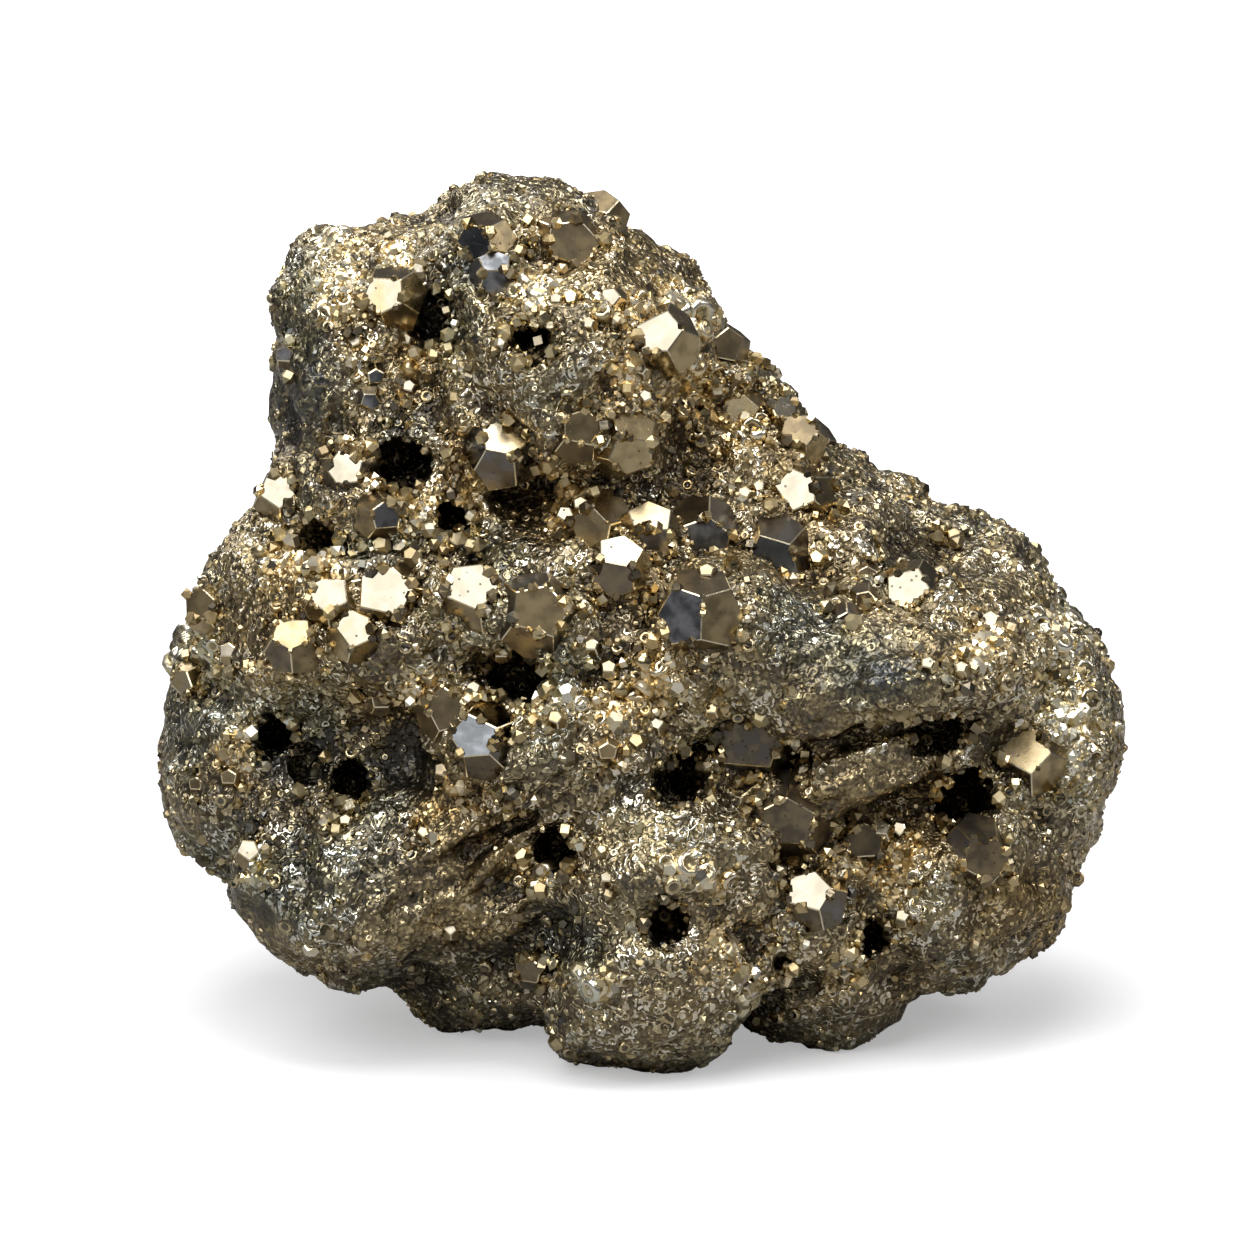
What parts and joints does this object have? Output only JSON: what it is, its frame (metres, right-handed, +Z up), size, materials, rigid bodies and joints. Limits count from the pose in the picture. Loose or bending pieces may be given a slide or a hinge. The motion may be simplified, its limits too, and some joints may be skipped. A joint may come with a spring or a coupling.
{
  "type": "pyrite specimen",
  "caption": "Lobed lump of massive pyrite with vugs, undercut ledges and many pyritohedral crystals grown from its surface, resting on flat-worn lobes.",
  "frame": {"origin": "middle of the bounding box, at the height of the surface the specimen rests on", "axes": "+Z up as it rests, +X to the right along its longest side seen from the front, +Y from front to back"},
  "size_m": [0.0797, 0.0528, 0.0703],
  "materials": {
    "pyrite": "metallic, tarnished brassy grey-gold, bright on crystal faces"
  },
  "bodies": {
    "root": {"pyrite_cluster": "pyrite"}
  },
  "joints": []
}
